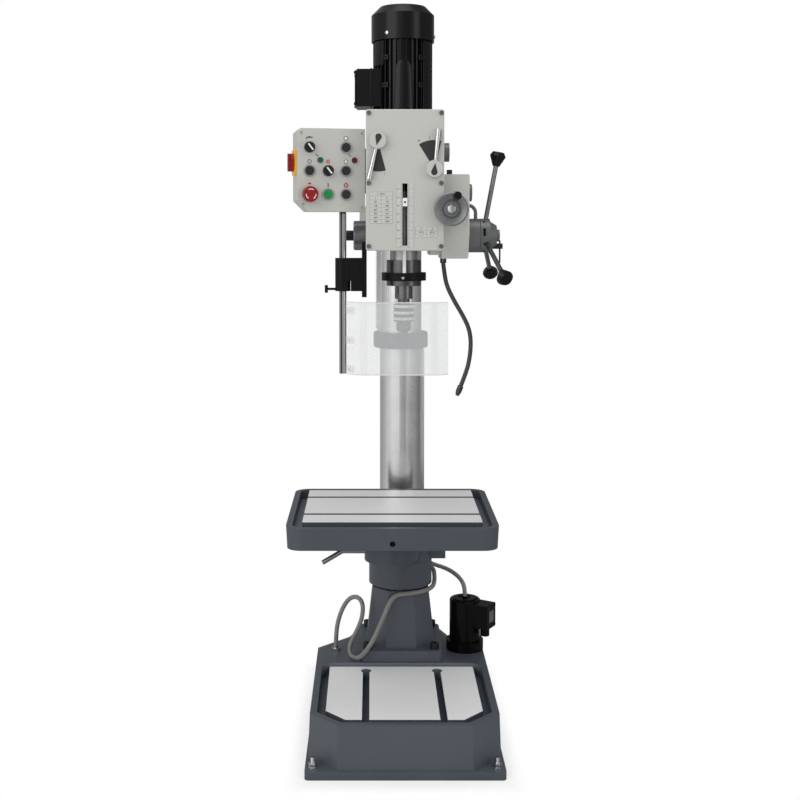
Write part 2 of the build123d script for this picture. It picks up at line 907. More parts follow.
# Table arm: sleeve on the column, web and round boss under the table
arm_side = Plane(
    origin=(0, 0, 0),
    x_dir=(-sin(table_swing), -cos(table_swing), 0),
    z_dir=(cos(table_swing), -sin(table_swing), 0),
)
arm_box_x = lift_pinion_x + journal_r + arm_box_over
with BuildPart() as table_arm:
    arm_low = lift_high + gap
    with BuildSketch(Plane.XY.offset(arm_low)):
        Circle(arm_r)
    extrude(amount=arm_top - arm_low)
    with BuildSketch(Plane.XY.offset(boss_low)):
        with Locations((table_x, table_y)):
            Circle(boss_r)
    extrude(amount=arm_top - boss_low)
    with BuildSketch(arm_side):
        with BuildLine():
            Polyline(
                (0, -web_low),
                (arm_r, -web_low),
                (spindle_reach - boss_r, -boss_low),
                (spindle_reach, -boss_low),
                (spindle_reach, -arm_top),
                (0, -arm_top),
                close=True,
            )
        make_face()
    extrude(amount=web_w / 2, both=True)
    with BuildSketch(Plane.XZ.offset(-lift_box_back)):
        with Locations(((column_r + arm_box_x) / 2, lift_pinion_z)):
            Rectangle(arm_box_x - column_r, 2 * arm_box_half)
    extrude(amount=lift_box_back - lift_box_front)
    with Locations((0, 0, arm_top)):
        Hole(column_r + fit, depth=arm_top - arm_low)
    with Locations((table_x, table_y, arm_top)):
        Hole(table_stem_r + fit, depth=arm_top - boss_low)
    with BuildSketch(Plane.XY.offset(arm_low)):
        with Locations(((table_rack_tip + 1) / 2, 0)):
            Rectangle(table_rack_tip + 1, rack_w + 2 * gap)
    extrude(amount=arm_top - arm_low, mode=Mode.SUBTRACT)
    with BuildSketch(Plane.XZ.offset(-lift_box_back)):
        with Locations((lift_pinion_x, lift_pinion_z)):
            Circle(journal_r + fit)
    extrude(amount=lift_box_back + pinion_w / 2 + gap, mode=Mode.SUBTRACT)
    with BuildSketch(Plane.XZ.offset(-lift_box_back)):
        with Locations((lift_pinion_x, lift_pinion_z)):
            Circle(shaft_r + fit)
    extrude(amount=lift_box_back - lift_box_front, mode=Mode.SUBTRACT)
    with BuildSketch(Plane.YZ.offset(table_x - boss_r)):
        with Locations((table_y - lock_ahead, lock_z)):
            Circle(lock_r + fit)
    extrude(amount=boss_r - table_stem_r - 8, mode=Mode.SUBTRACT)
save(table_arm, "table_arm")


def lift_shaft(centre_x, centre_z, box_front, box_back, tooth_at):
    """Pinion shaft along Y: front journal, pinion, wide rear journal and square end."""
    with BuildPart() as shaft:
        with BuildSketch(Plane.XZ.offset(pinion_w / 2)):
            with Locations((centre_x, centre_z)):
                Circle(shaft_r)
        extrude(amount=-box_front - pinion_w / 2)
        with BuildSketch(Plane.XZ.offset(pinion_w / 2)):
            with BuildLine():
                teeth = gear_points(rack_module, pinion_teeth, tooth_at, (centre_x, centre_z))
                Polyline(*teeth, close=True)
            make_face()
        extrude(amount=-pinion_w)
        with BuildSketch(Plane.XZ.offset(-pinion_w / 2)):
            with Locations((centre_x, centre_z)):
                Circle(journal_r)
        extrude(amount=pinion_w / 2 - box_back)
        with BuildSketch(Plane.XZ.offset(-box_back)):
            with Locations((centre_x, centre_z)):
                Rectangle(square_end, square_end)
        extrude(amount=-square_length)
    return shaft


table_lift_shaft = lift_shaft(lift_pinion_x, lift_pinion_z, lift_box_front, lift_box_back, 180)
save(table_lift_shaft, "table_lift_shaft")

# Lock lever: clamp screw in the arm's boss with a bent rod handle
lock_y = table_y - lock_ahead
with BuildPart() as lock_lever:
    with BuildLine() as lock_path:
        FilletPolyline(
            (table_x - table_stem_r - 14, lock_y, lock_z),
            (-lock_bend, lock_y, lock_z),
            (-lock_reach, lock_y, lock_z - lock_drop),
            radius=18,
        )
    with BuildSketch(Plane(origin=lock_path.line @ 0, z_dir=lock_path.line % 0)):
        Circle(lock_r)
    sweep()
save(lock_lever, "lock_lever")

# Table: drafted tray with a trough, machined plate with two T slots, hollow underside, stem
with BuildPart() as table:
    inset = (table_rim - table_low) * tan(radians(table_draft))
    with BuildSketch(Plane.XY.offset(table_low)):
        with Locations((table_x, table_y)):
            RectangleRounded(table_w - 2 * inset, table_d - 2 * inset, table_corner - inset)
    extrude(amount=table_rim - table_low, taper=-table_draft)
    with BuildSketch(Plane.XY.offset(table_floor)):
        with Locations((table_x, table_y)):
            RectangleRounded(
                table_w - 2 * table_wall, table_d - 2 * table_wall, table_corner - table_wall
            )
    extrude(amount=table_rim - table_floor, mode=Mode.SUBTRACT)
    with BuildSketch(Plane.XY.offset(table_floor)):
        with Locations((table_x, table_y)):
            Rectangle(table_plate_w, table_plate_d)
    extrude(amount=table_top - table_floor)
    for side in (-1, 1):
        slot_y = table_y + side * table_slot_pitch / 2
        with BuildSketch(Plane.XY.offset(table_top)):
            with Locations((table_x, slot_y)):
                Rectangle(table_plate_w, table_slot_w)
        extrude(amount=-table_slot_neck - table_slot_head, mode=Mode.SUBTRACT)
        with BuildSketch(Plane.XY.offset(table_top - table_slot_neck)):
            with Locations((table_x, slot_y)):
                Rectangle(table_plate_w, table_slot_head_w)
        extrude(amount=-table_slot_head, mode=Mode.SUBTRACT)
    with BuildSketch(Plane.XY.offset(table_low)):
        with Locations((table_x, table_y)):
            Rectangle(table_w - 4 * table_skirt, table_d - 4 * table_skirt)
            Circle(boss_r, mode=Mode.SUBTRACT)
            Rectangle(table_w, table_skirt, mode=Mode.SUBTRACT)
            Rectangle(table_skirt, table_d, mode=Mode.SUBTRACT)
    extrude(amount=table_floor - table_skin - table_low, mode=Mode.SUBTRACT)
    with BuildSketch(Plane.XY.offset(table_low)):
        with Locations((table_x, table_y)):
            Circle(table_stem_r)
    extrude(amount=table_stem_low - table_low)
    with BuildSketch(Plane.XZ.offset(-table_y + table_d / 2)):
        with Locations((table_x, table_drain_z)):
            Circle(table_drain_r)
    extrude(amount=-table_drain_l, mode=Mode.SUBTRACT)
    trough_middle = table_y - (table_d / 2 - table_wall + table_plate_d / 2) / 2
    with Locations((table_x, trough_middle, table_floor)):
        Hole(table_drain_drop_r, depth=table_floor - table_drain_z)
save(table, "table")

# Gear head casting: front opening case, quill guide, bearing shelf and split column clamp
case_inner = case_half - case_wall
case_rear_inner = case_back - case_wall
lift_boss_x = head_pinion_x - journal_r - 8
with BuildPart() as head_casting:
    with BuildSketch(Plane.XY.offset(head_bottom)):
        with Locations((0, (case_front + case_back) / 2)):
            Rectangle(case_w, case_back - case_front)
    extrude(amount=head_top - head_bottom)
    with BuildSketch(Plane.XY.offset(clamp_low)):
        Circle(case_half)
        with Locations((0, case_back / 2)):
            Rectangle(case_w, -case_back)
        with Locations((0, ear_back / 2)):
            Rectangle(2 * ear_half, ear_back)
    extrude(amount=clamp_high - clamp_low)
    with BuildSketch(Plane.XY.offset(head_bottom + case_floor)):
        with Locations((0, (case_front + case_rear_inner) / 2)):
            Rectangle(2 * case_inner, case_rear_inner - case_front)
    extrude(amount=head_top - head_bottom - case_floor - case_roof, mode=Mode.SUBTRACT)
    with BuildSketch(Plane.XY.offset(head_bottom)):
        with Locations((0, spindle_y)):
            Circle(guide_r)
    extrude(amount=guide_high - head_bottom)
    with BuildSketch(Plane.XY.offset(shelf_low)):
        with Locations((0, (spindle_y - sleeve_r - 20 + case_rear_inner) / 2)):
            Rectangle(2 * case_inner, case_rear_inner - spindle_y + sleeve_r + 20)
    extrude(amount=shelf_t)
    with BuildSketch(Plane.XY.offset(head_top - case_roof)):
        with Locations((0, spindle_y)):
            Circle(sleeve_r + 8)
        with Locations((idler_x, idler_y)):
            Circle(idler_shaft_r + 7)
    extrude(amount=sleeve_high - 10 - head_top + case_roof)
    with BuildSketch(Plane.XZ.offset(-lift_box_back)):
        with Locations(((lift_boss_x - column_r) / 2, head_pinion_z)):
            Rectangle(-lift_boss_x - column_r, 2 * lift_box_half)
    extrude(amount=lift_box_back - lift_box_front)
    with Locations((0, 0, clamp_high)):
        Hole(column_r + fit, depth=clamp_high - clamp_low)
    with BuildSketch(Plane.XY.offset(clamp_low)):
        with Locations((-(head_rack_tip + 1) / 2, 0)):
            Rectangle(head_rack_tip + 1, rack_w + 2 * gap)
        with Locations((0, ear_back)):
            Rectangle(clamp_slit, 2 * (ear_back - column_r + 2))
    extrude(amount=clamp_high - clamp_low, mode=Mode.SUBTRACT)
    with BuildSketch(Plane.XZ.offset(-lift_box_back)):
        with Locations((head_pinion_x, head_pinion_z)):
            Circle(journal_r + fit)
    extrude(amount=lift_box_back + pinion_w / 2 + gap, mode=Mode.SUBTRACT)
    with BuildSketch(Plane.XZ.offset(-lift_box_back)):
        with Locations((head_pinion_x, head_pinion_z)):
            Circle(shaft_r + fit)
    extrude(amount=lift_box_back - lift_box_front, mode=Mode.SUBTRACT)
    with Locations((0, spindle_y, guide_high)):
        Hole(quill_r + fit, depth=guide_high - head_bottom)
    with Locations((0, spindle_y, head_top - case_roof)):
        Hole(sleeve_r + fit, depth=head_top - case_roof - shelf_low)
    with Locations((idler_x, idler_y, sleeve_high + 8)):
        Hole(idler_shaft_r + fit, depth=sleeve_high + 8 - shelf_low)
    with Locations((0, motor_y, head_top)):
        Hole(motor_spigot_r + fit, depth=case_roof)
    with Locations((0, spindle_y - rod_reach, head_bottom + case_floor)):
        Hole(rod_r + gap, depth=case_floor)
    with BuildSketch(feed_plane.offset(-case_half)):
        Circle(feed_r + fit)
    extrude(amount=case_w, mode=Mode.SUBTRACT)
    with BuildSketch(feed_plane.offset(-case_inner)):
        Circle(feed_r + 1)
    extrude(amount=2 * case_inner, mode=Mode.SUBTRACT)
    with BuildSketch(feed_plane.offset(-feed_pinion_w / 2 - 1)):
        Circle(feed_pinion_r + addendum * feed_module + 1)
    extrude(amount=feed_pinion_w + 2, mode=Mode.SUBTRACT)
    with BuildSketch(Plane.XZ.offset(-case_front)):
        for height in cover_screw_zs:
            with Locations((cover_screw_x, height), (-cover_screw_x, height)):
                Circle(cover_screw_r)
    extrude(amount=-cover_screw_l, mode=Mode.SUBTRACT)
    with BuildSketch(Plane.YZ.offset(-ear_half)):
        for height in clamp_bolt_zs:
            with Locations((clamp_bolt_y, height)):
                Circle(clamp_bolt_r + fit)
    extrude(amount=2 * ear_half, mode=Mode.SUBTRACT)
    with BuildSketch(Plane.XZ.offset(-elbow_y)):
        with Locations((elbow_x, elbow_z)):
            Circle(spigot_r + fit)
    extrude(amount=elbow_y - elbow_seat, mode=Mode.SUBTRACT)
    with BuildSketch(Plane.XZ.offset(-feed_y + worm_half + worm_run_out)):
        with Locations((worm_x, worm_z)):
            Circle(worm_r + addendum * worm_module + worm_relief)
    extrude(amount=-2 * (worm_half + worm_run_out), mode=Mode.SUBTRACT)
save(head_casting, "head_casting")

head_lift_shaft = lift_shaft(head_pinion_x, head_pinion_z, lift_box_front, lift_box_back, 0)
save(head_lift_shaft, "head_lift_shaft")

# Front cover with the depth slot and the lever bores
with BuildPart() as front_cover:
    with BuildSketch(Plane.XZ.offset(-case_front)):
        with Locations((0, (cover_low + cover_high) / 2)):
            RectangleRounded(cover_w, cover_high - cover_low, 6)
    extrude(amount=cover_t)
    fillet(front_cover.faces().sort_by(Axis.Y)[0].edges(), 3)
    with BuildSketch(Plane.XZ.offset(-case_front)):
        with Locations((0, (slot_low + slot_high) / 2)):
            Rectangle(slot_w, slot_high - slot_low)
        with Locations((left_lever_x, left_lever_z), (right_lever_x, right_lever_z)):
            Circle(lever_shaft_r + fit)
        for height in cover_screw_zs:
            with Locations((cover_screw_x, height), (-cover_screw_x, height)):
                Circle(cover_screw_r)
    extrude(amount=cover_t, mode=Mode.SUBTRACT)
save(front_cover, "front_cover")


# Gear levers: hub with a shaft through the cover and a tapered handle
def gear_lever(hub_x, hub_z, turn):
    """Lever whose handle points up at turn 0 and turns clockwise from the front."""
    way = Vector(sin(radians(turn)), 0, cos(radians(turn)))
    hub_front = cover_front - gap - lever_hub_t
    with BuildPart() as lever:
        with BuildSketch(Plane.XZ.offset(-cover_front + gap)):
            with Locations((hub_x, hub_z)):
                Circle(lever_hub_r)
        extrude(amount=lever_hub_t, taper=6)
        with BuildSketch(Plane.XZ.offset(-cover_front + gap)):
            with Locations((hub_x, hub_z)):
                Circle(lever_shaft_r)
        extrude(amount=-cover_t - gap - 10)
        root = Vector(hub_x, hub_front + lever_thick_r, hub_z) + way * (lever_hub_r - 9)
        for along, radius in ((0, lever_thin_r), (lever_l - lever_hub_r + 9, lever_thick_r)):
            with BuildSketch(Plane(origin=root + way * along, z_dir=way)):
                Circle(radius)
        loft()
    return lever


gear_lever_left = gear_lever(left_lever_x, left_lever_z, left_lever_turn)
save(gear_lever_left, "gear_lever_left")
gear_lever_right = gear_lever(right_lever_x, right_lever_z, right_lever_turn)
save(gear_lever_right, "gear_lever_right")

# Motor housing: flange, finned barrel with a stator bore and a terminal box beside it
with BuildPart() as motor_housing:
    with BuildSketch(Plane.XY.offset(motor_low)):
        with Locations((0, motor_y)):
            Circle(motor_flange_r)
    extrude(amount=motor_flange_h)
    with BuildSketch(Plane.XY.offset(motor_low)):
        with Locations((0, motor_y)):
            Circle(motor_r)
    extrude(amount=motor_top - motor_low)
    with BuildSketch(Plane.XY.offset(motor_low + motor_flange_h)):
        with Locations((0, motor_y)):
            with PolarLocations((motor_r + motor_fin_r) / 2 - 1, motor_fins):
                Rectangle(motor_fin_r - motor_r + 2, motor_fin_t)
    extrude(amount=fan_cover_low - motor_low - motor_flange_h - gap)
    with BuildSketch(Plane.XY.offset(motor_low - case_roof)):
        with Locations((0, motor_y)):
            Circle(motor_spigot_r)
    extrude(amount=case_roof)
    with BuildSketch(Plane.XY.offset(motor_low + motor_end)):
        with Locations((0, motor_y)):
            Circle(motor_bore_r)
    extrude(amount=motor_top - motor_low - 2 * motor_end, mode=Mode.SUBTRACT)
    with Locations((0, motor_y, motor_top)):
        Hole(motor_shaft_r + fit, depth=motor_top - motor_low + case_roof)
    with BuildSketch(Plane.XY.offset(motor_box_low)):
        with Locations((motor_box_x + motor_box_w / 2 + 8, motor_y)):
            Rectangle(motor_box_w + 16, motor_box_d)
        with Locations((0, motor_y)):
            Circle(motor_bore_r + 4, mode=Mode.SUBTRACT)
    extrude(amount=motor_box_high - motor_box_low)
save(motor_housing, "motor_housing")

with BuildPart() as motor_fan_cover:
    with BuildSketch(Plane.XY.offset(fan_cover_low)):
        with Locations((0, motor_y)):
            Circle(fan_cover_r)
    extrude(amount=fan_cover_top - fan_cover_low)
    chamfer(motor_fan_cover.faces().sort_by(Axis.Z)[-1].edges(), fan_cover_bevel)
    offset(
        amount=-fan_cover_wall,
        openings=motor_fan_cover.faces().sort_by(Axis.Z)[0],
        kind=Kind.INTERSECTION,
    )
    with BuildSketch(Plane.XY.offset(fan_cover_low)):
        with Locations((0, motor_y)):
            Circle(fan_cover_r - 1)
            Circle(motor_r + fit, mode=Mode.SUBTRACT)
    extrude(amount=2)
    with BuildSketch(Plane.XY.offset(fan_cover_top)):
        with Locations((0, motor_y)):
            with PolarLocations(fan_slot_at, fan_slots):
                SlotOverall(fan_slot_l, fan_slot_w)
    extrude(amount=-fan_cover_wall - 2, mode=Mode.SUBTRACT)
save(motor_fan_cover, "motor_fan_cover")

# Rotor: shaft with core, fan and the first pinion
with BuildPart() as motor_rotor:
    with BuildSketch(Plane.XY.offset(upper_gear_low - 4)):
        with Locations((0, motor_y)):
            Circle(motor_shaft_r)
    extrude(amount=fan_cover_top - 30 - upper_gear_low)
    with BuildSketch(Plane.XY.offset(motor_low + motor_end + 12)):
        with Locations((0, motor_y)):
            Circle(motor_bore_r - 2)
    extrude(amount=motor_top - motor_low - 2 * motor_end - 24)
    with BuildSketch(Plane.XY.offset(upper_gear_low)):
        with BuildLine():
            Polyline(*gear_points(train_module, motor_teeth, motor_mesh, (0, motor_y)), close=True)
        make_face()
    extrude(amount=gear_w)
    fan_low = motor_top + 14
    with BuildSketch(Plane.XY.offset(fan_low)):
        with Locations((0, motor_y)):
            Circle(26)
            with PolarLocations(46, 8):
                Rectangle(48, 3)
    extrude(amount=26)
save(motor_rotor, "motor_rotor")

# Idler: two gears on one shaft
with BuildPart() as idler_gear:
    with BuildSketch(Plane.XY.offset(shelf_low)):
        with Locations((idler_x, idler_y)):
            Circle(idler_shaft_r)
    extrude(amount=sleeve_high + 6 - shelf_low)
    with BuildSketch(Plane.XY.offset(upper_gear_low)):
        with BuildLine():
            in_mesh = motor_mesh + 180 + 180 / idler_teeth
            Polyline(
                *gear_points(train_module, idler_teeth, in_mesh, (idler_x, idler_y)), close=True
            )
        make_face()
    extrude(amount=gear_w)
    with BuildSketch(Plane.XY.offset(lower_gear_low)):
        with BuildLine():
            Polyline(
                *gear_points(train_module, idler_pinion_teeth, idler_mesh, (idler_x, idler_y)),
                close=True,
            )
        make_face()
    extrude(amount=gear_w)
    with BuildSketch(Plane.XY.offset(shelf_low + shelf_t + gap)):
        with Locations((idler_x, idler_y)):
            Circle(idler_shaft_r + 4)
    extrude(amount=lower_gear_low - shelf_low - shelf_t - gap)
save(idler_gear, "idler_gear")


def spline_sketch(root, tip, width):
    """Cross section of a splined shaft about the sketch origin."""
    Circle(root)
    with PolarLocations(tip / 2, spline_count):
        Rectangle(tip, width)


# Drive gear: splined sleeve that the spindle slides through
with BuildPart() as drive_gear:
    with BuildSketch(Plane.XY.offset(sleeve_low)):
        with Locations((0, spindle_y)):
            Circle(sleeve_r)
    extrude(amount=sleeve_high - sleeve_low)
    with BuildSketch(Plane.XY.offset(lower_gear_low)):
        with BuildLine():
            in_mesh = idler_mesh + 180 + 180 / drive_teeth
            Polyline(
                *gear_points(train_module, drive_teeth, in_mesh, (0, spindle_y)), close=True
            )
        make_face()
    extrude(amount=gear_w)
    with BuildSketch(Plane.XY.offset(shelf_low + shelf_t + gap)):
        with Locations((0, spindle_y)):
            Circle(sleeve_r + 5)
    extrude(amount=lower_gear_low - shelf_low - shelf_t - gap)
    with BuildSketch(Plane((0, spindle_y, sleeve_low))):
        spline_sketch(spline_r + gap, spline_tip + gap, spline_w + 2 * gap)
    extrude(amount=sleeve_high - sleeve_low, mode=Mode.SUBTRACT)
save(drive_gear, "drive_gear")

# Quill: sleeve with a toothed flat at its back
with BuildPart() as quill:
    with BuildSketch(Plane.XY.offset(quill_low)):
        with Locations((0, spindle_y)):
            Circle(quill_r)
    extrude(amount=quill_high - quill_low)
    with BuildSketch(Plane.XY.offset(quill_rack_low)):
        with Locations((0, spindle_y + quill_flat + quill_r)):
            Rectangle(2 * quill_r, 2 * quill_r)
    extrude(amount=quill_high - quill_rack_low, mode=Mode.SUBTRACT)
    with BuildSketch(Plane.YZ.offset(-quill_r)):
        half_gap = pi * feed_module / 4 + backlash / 4
        mouth = half_gap + addendum * feed_module * tan(pressure_angle)
        bottom = half_gap - dedendum * feed_module * tan(pressure_angle)
        tip_y = spindle_y + quill_flat
        root_y = tip_y - (addendum + dedendum) * feed_module
        for tooth in rack_teeth(feed_module, quill_rack_low, quill_high, feed_z):
            middle = tooth - pi * feed_module / 2
            with BuildLine():
                Polyline(
                    (root_y, middle - bottom),
                    (root_y, middle + bottom),
                    (tip_y, middle + mouth),
                    (tip_y + 1, middle + mouth),
                    (tip_y + 1, middle - mouth),
                    (tip_y, middle - mouth),
                    close=True,
                )
            make_face()
    extrude(amount=2 * quill_r, mode=Mode.SUBTRACT)
    with Locations((0, spindle_y, quill_high)):
        Hole(spindle_r + fit, depth=quill_high - quill_low)
save(quill, "quill")

# Spindle: nose, bearing length inside the quill, splined upper end and chuck arbor
with BuildPart() as spindle:
    with BuildSketch(Plane.XY.offset(nose_low)):
        with Locations((0, spindle_y)):
            Circle(nose_r)
    extrude(amount=quill_low - gap - nose_low)
    with BuildSketch(Plane.XY.offset(nose_low)):
        with Locations((0, spindle_y)):
            Circle(spindle_r)
    extrude(amount=quill_high - nose_low)
    with BuildSketch(Plane((0, spindle_y, quill_high))):
        spline_sketch(spline_r, spline_tip, spline_w)
    extrude(amount=spline_high - quill_high)
    with BuildSketch(Plane.XY.offset(chuck_high)):
        with Locations((0, spindle_y)):
            Circle(arbor_r)
    extrude(amount=nose_low - chuck_high)
save(spindle, "spindle")

# Keyless chuck: knurled body in three bands and three jaws in its nose
band = (chuck_high - chuck_skirt) / 3
with BuildPart() as chuck:
    with BuildSketch(Plane.YZ) as chuck_half:
        with BuildLine():
            Polyline(
                (spindle_y, chuck_high),
                (spindle_y + chuck_r - 5, chuck_high),
                (spindle_y + chuck_r, chuck_high - 4),
                (spindle_y + chuck_r, chuck_high - band + 2),
                (spindle_y + chuck_r - 2, chuck_high - band),
                (spindle_y + chuck_r, chuck_high - band - 2),
                (spindle_y + chuck_r, chuck_high - 2 * band + 2),
                (spindle_y + chuck_r - 2, chuck_high - 2 * band),
                (spindle_y + chuck_r, chuck_high - 2 * band - 2),
                (spindle_y + chuck_r, chuck_skirt + 3),
                (spindle_y + chuck_nose_r, chuck_skirt),
                (spindle_y + chuck_nose_r, chuck_low + 3),
                (spindle_y + chuck_nose_r - 3, chuck_low),
                (spindle_y, chuck_low),
                close=True,
            )
        make_face()
    revolve(axis=spindle_axis)
    with Locations((0, spindle_y, chuck_skirt + 8)):
        Hole(jaw_r + fit, depth=chuck_skirt + 8 - chuck_low)
    with BuildSketch(Plane.YZ):
        with BuildLine():
            Polyline(
                (spindle_y + jaw_split, chuck_skirt + 8 - gap),
                (spindle_y + jaw_r, chuck_skirt + 8 - gap),
                (spindle_y + jaw_r, chuck_low - 3),
                (spindle_y + jaw_r * 0.45, jaw_tip),
                (spindle_y + jaw_split, jaw_tip),
                close=True,
            )
        make_face()
    revolve(axis=spindle_axis)
    with BuildSketch(Plane((0, spindle_y, jaw_tip))):
        with PolarLocations(jaw_r / 2 + jaw_split / 2, 3):
            Rectangle(jaw_r - jaw_split / 2 + gap, jaw_split)
    extrude(amount=chuck_skirt + 8 - gap - jaw_tip, mode=Mode.SUBTRACT)
save(chuck, "chuck")

# Depth ring clamped on the quill, and the depth rod with its pointer
with BuildPart() as depth_ring:
    with BuildSketch(Plane.XY.offset(ring_low)):
        with Locations((0, spindle_y)):
            Circle(ring_r)
    extrude(amount=ring_high - ring_low)
    with BuildSketch(Plane.XY.offset(ring_flange_low)):
        with Locations((0, spindle_y)):
            Circle(ring_flange_r)
    extrude(amount=ring_flange_high - ring_flange_low)
    with Locations((0, spindle_y, ring_high)):
        Hole(quill_r + fit, depth=ring_high - ring_low)
    with BuildSketch(Plane.XY.offset(ring_flange_high)):
        with Locations((-4, spindle_y - quill_r)):
            Rectangle(3, 30)
    extrude(amount=ring_high - ring_flange_high, mode=Mode.SUBTRACT)
save(depth_ring, "depth_ring")

rod_y = spindle_y - rod_reach
with BuildPart() as depth_rod:
    with BuildSketch(Plane.XY.offset(ring_flange_high)):
        with Locations((0, rod_y)):
            Circle(rod_r)
    extrude(amount=rod_high - ring_flange_high)
    with BuildSketch(Plane.XZ.offset(-rod_y)):
        with Locations((0, pointer_low + pointer_h / 2)):
            Rectangle(slot_w - 2 * gap, pointer_h)
    extrude(amount=rod_y - cover_front + 3)
save(depth_rod, "depth_rod")

# Feed shaft with the quill pinion
with BuildPart() as feed_shaft:
    with BuildSketch(feed_plane.offset(spring_case_end + spring_case_wall + 2)):
        Circle(feed_r)
    extrude(amount=hub_end - spring_case_end - spring_case_wall - 2)
    with BuildSketch(feed_plane.offset(-feed_pinion_w / 2)):
        with BuildLine():
            Polyline(*gear_points(feed_module, feed_teeth, 180, (0, 0)), close=True)
        make_face()
    extrude(amount=feed_pinion_w)
save(feed_shaft, "feed_shaft")

# Spring housing at the left wall, with its knob, and the flat return spring inside
with BuildPart() as spring_housing:
    with BuildSketch(feed_plane.offset(-case_half)):
        Circle(spring_case_r)
    extrude(amount=spring_case_end + case_half)
    fillet(spring_housing.faces().sort_by(Axis.X)[0].edges(), 4)
    with BuildSketch(feed_plane.offset(spring_case_end)):
        Circle(spring_knob_r)
    extrude(amount=spring_knob_end - spring_case_end)
    with BuildSketch(feed_plane.offset(-case_half)):
        Circle(spring_case_r - spring_case_wall)
    extrude(amount=spring_case_end + spring_case_wall + case_half, mode=Mode.SUBTRACT)
save(spring_housing, "spring_housing")

with BuildPart() as return_spring:
    spring_x = (spring_case_end + spring_case_wall - case_half - spring_w) / 2
    with BuildSketch(feed_plane.offset(spring_x)):
        with BuildLine():
            for half in range(2 * spring_turns):
                shift = spring_pitch / 2 if half % 2 else 0
                CenterArc((shift, 0), spring_inner_r + spring_pitch * half / 2, 180 * half, 180)
        trace(line_width=spring_t)
    extrude(amount=spring_w)
save(return_spring, "return_spring")

# Feed box on the right wall, open towards the head, with a foot under the head
box_outline = [
    (box_front, box_high),
    (box_front, box_front_low),
    (box_slope_y, box_low),
    (box_back, box_low),
    (box_back, box_high),
]
with BuildPart() as feed_box:
    with BuildSketch(Plane.YZ.offset(case_half)):
        with BuildLine():
            Polyline(*box_outline, close=True)
        make_face()
    extrude(amount=box_right - case_half)
    fillet(feed_box.faces().sort_by(Axis.X)[-1].edges(), box_round)
    with BuildSketch(Plane.YZ.offset(case_half)):
        with BuildLine():
            Polyline(*box_outline, close=True)
        make_face()
        offset(amount=-box_wall, kind=Kind.INTERSECTION, mode=Mode.REPLACE)
    extrude(amount=box_right - box_wall - case_half, mode=Mode.SUBTRACT)
    with BuildSketch(Plane.XY.offset(head_bottom)):
        with Locations(((box_foot_x + case_half + box_wall) / 2, (box_slope_y + box_back) / 2)):
            Rectangle(case_half + box_wall - box_foot_x, box_back - box_slope_y)
    extrude(amount=-box_foot_h)
    with BuildSketch(Plane.YZ.offset(case_half)):
        with Locations(((box_slope_y + box_back) / 2, head_bottom)):
            Rectangle(box_back - box_slope_y - 2 * box_wall, 2 * box_foot_h)
    extrude(amount=box_wall, mode=Mode.SUBTRACT)
    with BuildSketch(Plane.XZ.offset(-box_front)):
        with Locations((worm_x, worm_z)):
            Circle(worm_boss_r)
    extrude(amount=worm_boss_l)
    with BuildSketch(Plane.XZ.offset(-box_front + worm_boss_l)):
        with Locations((worm_x, worm_z)):
            Circle(worm_shaft_r + fit)
    extrude(amount=-worm_boss_l - worm_end + box_front, mode=Mode.SUBTRACT)
    with BuildSketch(feed_plane.offset(box_right)):
        Circle(feed_r + fit)
        with Locations((selector_y - feed_y, selector_z - feed_z)):
            Circle(selector_shaft_r + fit)
    extrude(amount=-box_wall, mode=Mode.SUBTRACT)
save(feed_box, "feed_box")

# Worm thread about the world's Z, then laid along Y on its shaft
worm_pitch = pi * worm_module
worm_root = worm_r - dedendum * worm_module
thread_half = worm_pitch / 4 - backlash / 4 - worm_play / 2
thread_tip = thread_half - addendum * worm_module * tan(pressure_angle)
thread_base = thread_half + dedendum * worm_module * tan(pressure_angle)
thread_h = (addendum + dedendum) * worm_module
with BuildPart() as worm_thread:
    with BuildLine() as thread_line:
        Helix(pitch=worm_pitch, height=2 * worm_half, radius=worm_root)
    thread_start = Plane(
        origin=thread_line.line @ 0, x_dir=(1, 0, 0), z_dir=thread_line.line % 0
    )
    with BuildSketch(thread_start):
        with BuildLine():
            Polyline(
                (-0.5, -thread_base),
                (thread_h, -thread_tip),
                (thread_h, thread_tip),
                (-0.5, thread_base),
                close=True,
            )
        make_face()
    sweep(is_frenet=True)
    with BuildSketch(Plane.XY.offset(-thread_base)):
        Circle(worm_root)
    extrude(amount=2 * worm_half + 2 * thread_base)

worm_front = cover_front - handwheel_clear - handwheel_seat
with BuildPart() as worm_shaft:
    with Locations((worm_x, feed_y + worm_turns_back * worm_pitch, worm_z)):
        add(worm_thread.part, rotation=(90, 0, 0))
    with BuildSketch(Plane.XZ.offset(-worm_end)):
        with Locations((worm_x, worm_z)):
            Circle(worm_shaft_r)
    extrude(amount=worm_end - worm_front)
save(worm_shaft, "worm_shaft")

